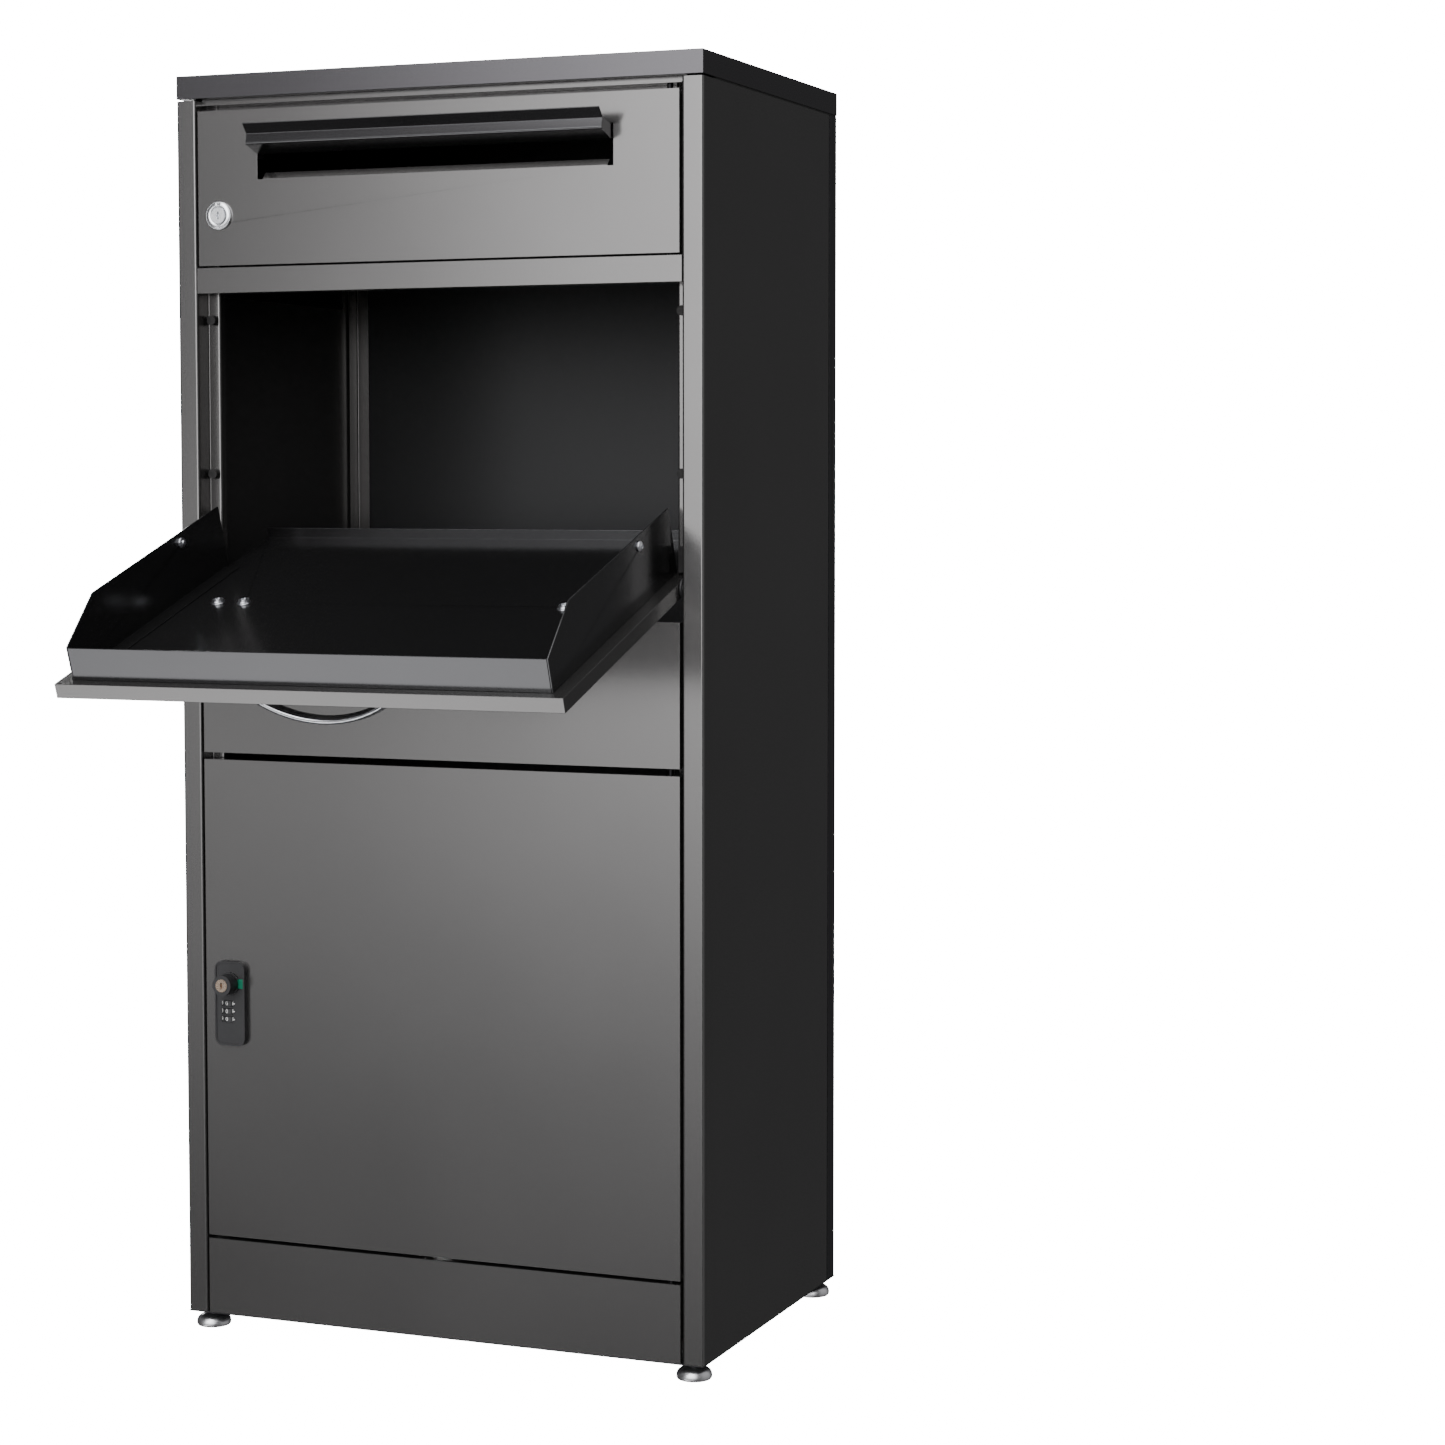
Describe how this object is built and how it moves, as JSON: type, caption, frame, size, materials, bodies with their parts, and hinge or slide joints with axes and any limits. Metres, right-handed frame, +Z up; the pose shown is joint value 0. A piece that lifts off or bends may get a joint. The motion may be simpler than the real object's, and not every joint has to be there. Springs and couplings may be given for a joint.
{
  "type": "parcel drop box",
  "caption": "Sheet-steel parcel and letter box with a slot door and flap above, a tilting drop hopper with a bow handle, and a lower door with a combination lock.",
  "frame": {"origin": "centre of the four floor-anchor holes on the underside of the base pan, midway across and front to back", "axes": "+Z up, the front with its doors faces -Y, +X to the right as seen from the front"},
  "size_m": [0.47, 0.5323, 1.05],
  "materials": {
    "body_paint": "satin graphite powder coat",
    "inner_paint": "satin black powder coat",
    "hopper_paint": "semi-gloss black powder coat",
    "zinc_steel": "zinc plated",
    "black_steel": "blackened steel",
    "chrome": "polished chrome",
    "satin_chrome": "satin chrome",
    "black_plastic": "moulded satin black",
    "bronze_nickel": "bronze-toned nickel",
    "green_plastic": "gloss green",
    "black_rubber": "matt rubber",
    "foot_metal": "turned, zinc plated"
  },
  "bodies": {
    "cabinet": {"left_side_panel": "body_paint", "right_side_panel": "body_paint", "back_panel": "inner_paint", "base_pan": "inner_paint", "top_lid": "body_paint", "lid_gasket": "black_rubber", "lid_screws": "zinc_steel", "top_front_rail": "body_paint", "header_rail": "body_paint", "mail_floor": "inner_paint", "mail_floor_angles": "inner_paint", "middle_panel": "body_paint", "front_plinth": "body_paint", "panel_brackets": "inner_paint", "hopper_pivot_bushes": "black_plastic", "hopper_stop_buffers": "black_rubber", "door_buffers": "black_rubber", "back_rivets": "zinc_steel", "foot_nuts": "zinc_steel"},
    "hopper": {"hopper_door_panel": "body_paint", "hopper_tray": "hopper_paint", "hopper_left_cheek": "hopper_paint", "hopper_right_cheek": "hopper_paint", "tray_rails": "inner_paint", "hopper_handle": "satin_chrome", "handle_screws": "zinc_steel", "tray_bolts": "zinc_steel", "cheek_screws": "zinc_steel", "hopper_pivot_pins": "black_steel"},
    "mail_door": {"mail_door_panel": "body_paint", "mail_door_pins": "black_steel", "flap_brackets": "inner_paint", "flap_pins": "zinc_steel", "cam_lock_body": "chrome", "cam_lock_nut": "zinc_steel"},
    "mail_flap": {"mail_flap": "hopper_paint"},
    "cam_lock": {"cam_lock_plug": "chrome", "cam_lock_cam": "zinc_steel"},
    "lower_door": {"lower_door_panel": "body_paint", "lower_door_stiffener": "inner_paint", "lower_door_pins": "black_steel", "combination_housing": "black_plastic", "combination_bracket": "zinc_steel", "combination_screws": "zinc_steel", "combination_indicator": "green_plastic", "dial_shaft": "zinc_steel"},
    "combination_turn": {"combination_knob": "black_plastic", "combination_key_plug": "bronze_nickel", "combination_cam": "zinc_steel"},
    "number_dial_1": {"number_dial_1": "black_plastic"},
    "number_dial_2": {"number_dial_2": "black_plastic"},
    "number_dial_3": {"number_dial_3": "black_plastic"},
    "front_left_foot": {"front_left_foot": "foot_metal"},
    "front_right_foot": {"front_right_foot": "foot_metal"},
    "rear_left_foot": {"rear_left_foot": "foot_metal"},
    "rear_right_foot": {"rear_right_foot": "foot_metal"}
  },
  "joints": [
    {"name": "hopper_tilt", "type": "hinge", "parent": "cabinet", "child": "hopper", "pos_m": [0, -0.149, 0.618], "axis": [-1, 0, 0], "range_deg": [0, 109]},
    {"name": "mail_door_swing", "type": "hinge", "parent": "cabinet", "child": "mail_door", "pos_m": [0.205, -0.149, 0.943], "axis": [0, 0, 1], "range_deg": [0, 105]},
    {"name": "mail_flap_swing", "type": "hinge", "parent": "mail_door", "child": "mail_flap", "pos_m": [0, -0.148, 0.976], "axis": [1, 0, 0], "range_deg": [0, 66]},
    {"name": "cam_lock_turn", "type": "hinge", "parent": "mail_door", "child": "cam_lock", "pos_m": [-0.195, -0.155, 0.9203], "axis": [0, -1, 0], "range_deg": [0, 90]},
    {"name": "lower_door_swing", "type": "hinge", "parent": "cabinet", "child": "lower_door", "pos_m": [0.205, -0.149, 0.2689], "axis": [0, 0, 1], "range_deg": [0, 110]},
    {"name": "combination_turn", "type": "hinge", "parent": "lower_door", "child": "combination_turn", "pos_m": [-0.19, -0.155, 0.283], "axis": [0, -1, 0], "range_deg": [0, 90]},
    {"name": "number_dial_1_spin", "type": "hinge", "parent": "lower_door", "child": "number_dial_1", "pos_m": [-0.1925, -0.1522, 0.266], "axis": [0, 0, 1], "continuous": true},
    {"name": "number_dial_2_spin", "type": "hinge", "parent": "lower_door", "child": "number_dial_2", "pos_m": [-0.1925, -0.1522, 0.2594], "axis": [0, 0, 1], "continuous": true},
    {"name": "number_dial_3_spin", "type": "hinge", "parent": "lower_door", "child": "number_dial_3", "pos_m": [-0.1925, -0.1522, 0.2528], "axis": [0, 0, 1], "continuous": true},
    {"name": "front_left_foot_level", "type": "slide", "parent": "cabinet", "child": "front_left_foot", "axis": [0, 0, -1], "range_m": [0, 0.012]},
    {"name": "front_right_foot_level", "type": "slide", "parent": "cabinet", "child": "front_right_foot", "axis": [0, 0, -1], "range_m": [0, 0.012]},
    {"name": "rear_left_foot_level", "type": "slide", "parent": "cabinet", "child": "rear_left_foot", "axis": [0, 0, -1], "range_m": [0, 0.012]},
    {"name": "rear_right_foot_level", "type": "slide", "parent": "cabinet", "child": "rear_right_foot", "axis": [0, 0, -1], "range_m": [0, 0.012]}
  ]
}
